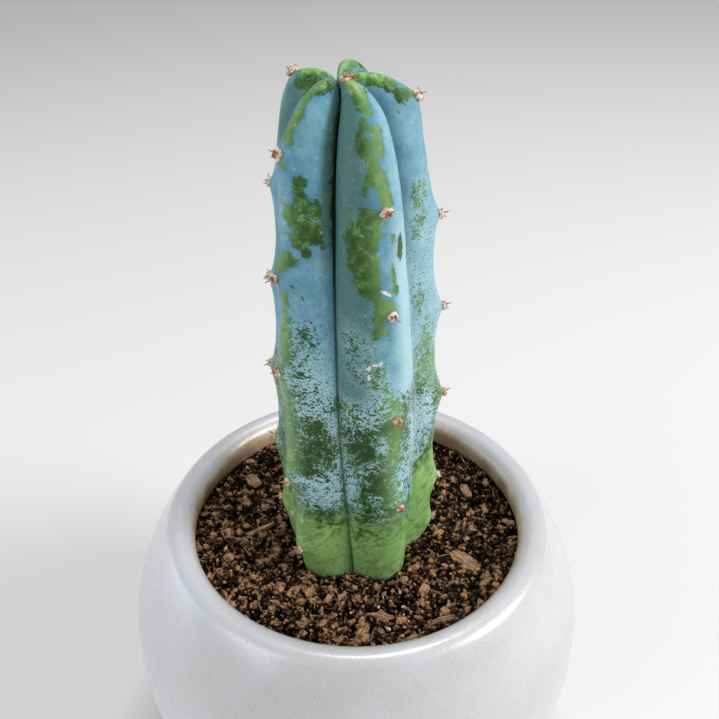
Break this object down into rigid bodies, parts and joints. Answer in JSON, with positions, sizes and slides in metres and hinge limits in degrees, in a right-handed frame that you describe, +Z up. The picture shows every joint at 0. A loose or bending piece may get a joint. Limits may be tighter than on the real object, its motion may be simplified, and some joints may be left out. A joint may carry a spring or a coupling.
{
  "type": "potted blue myrtle cactus",
  "caption": "Ribbed columnar cactus with short-spined areoles, standing in dark peat in a ball-shaped glazed pot with a rolled lip.",
  "frame": {"origin": "middle of the pot's foot, on the surface that the pot stands on", "axes": "+Z up along the stem; -Y is the front that the picture sees and +X its right-hand side"},
  "size_m": [0.16, 0.16, 0.2681],
  "materials": {
    "pot_glaze": "pearly off-white glazed ceramic, softly glossy, with a bare beige streak at the lip",
    "peat": "dark brown crumbled peat, matte and damp",
    "stem_skin": "waxy plant skin, blue-grey bloom rubbed through to mid green",
    "bark": "dry tan bark and twig, matte"
  },
  "bodies": {
    "root": {"pot": "pot_glaze", "soil": "peat", "cactus_stem": "stem_skin", "bark_chip_1": "bark", "bark_chip_2": "bark", "bark_chip_3": "bark", "bark_chip_4": "bark", "bark_chip_5": "bark", "bark_chip_6": "bark", "twig": "bark"}
  },
  "joints": []
}
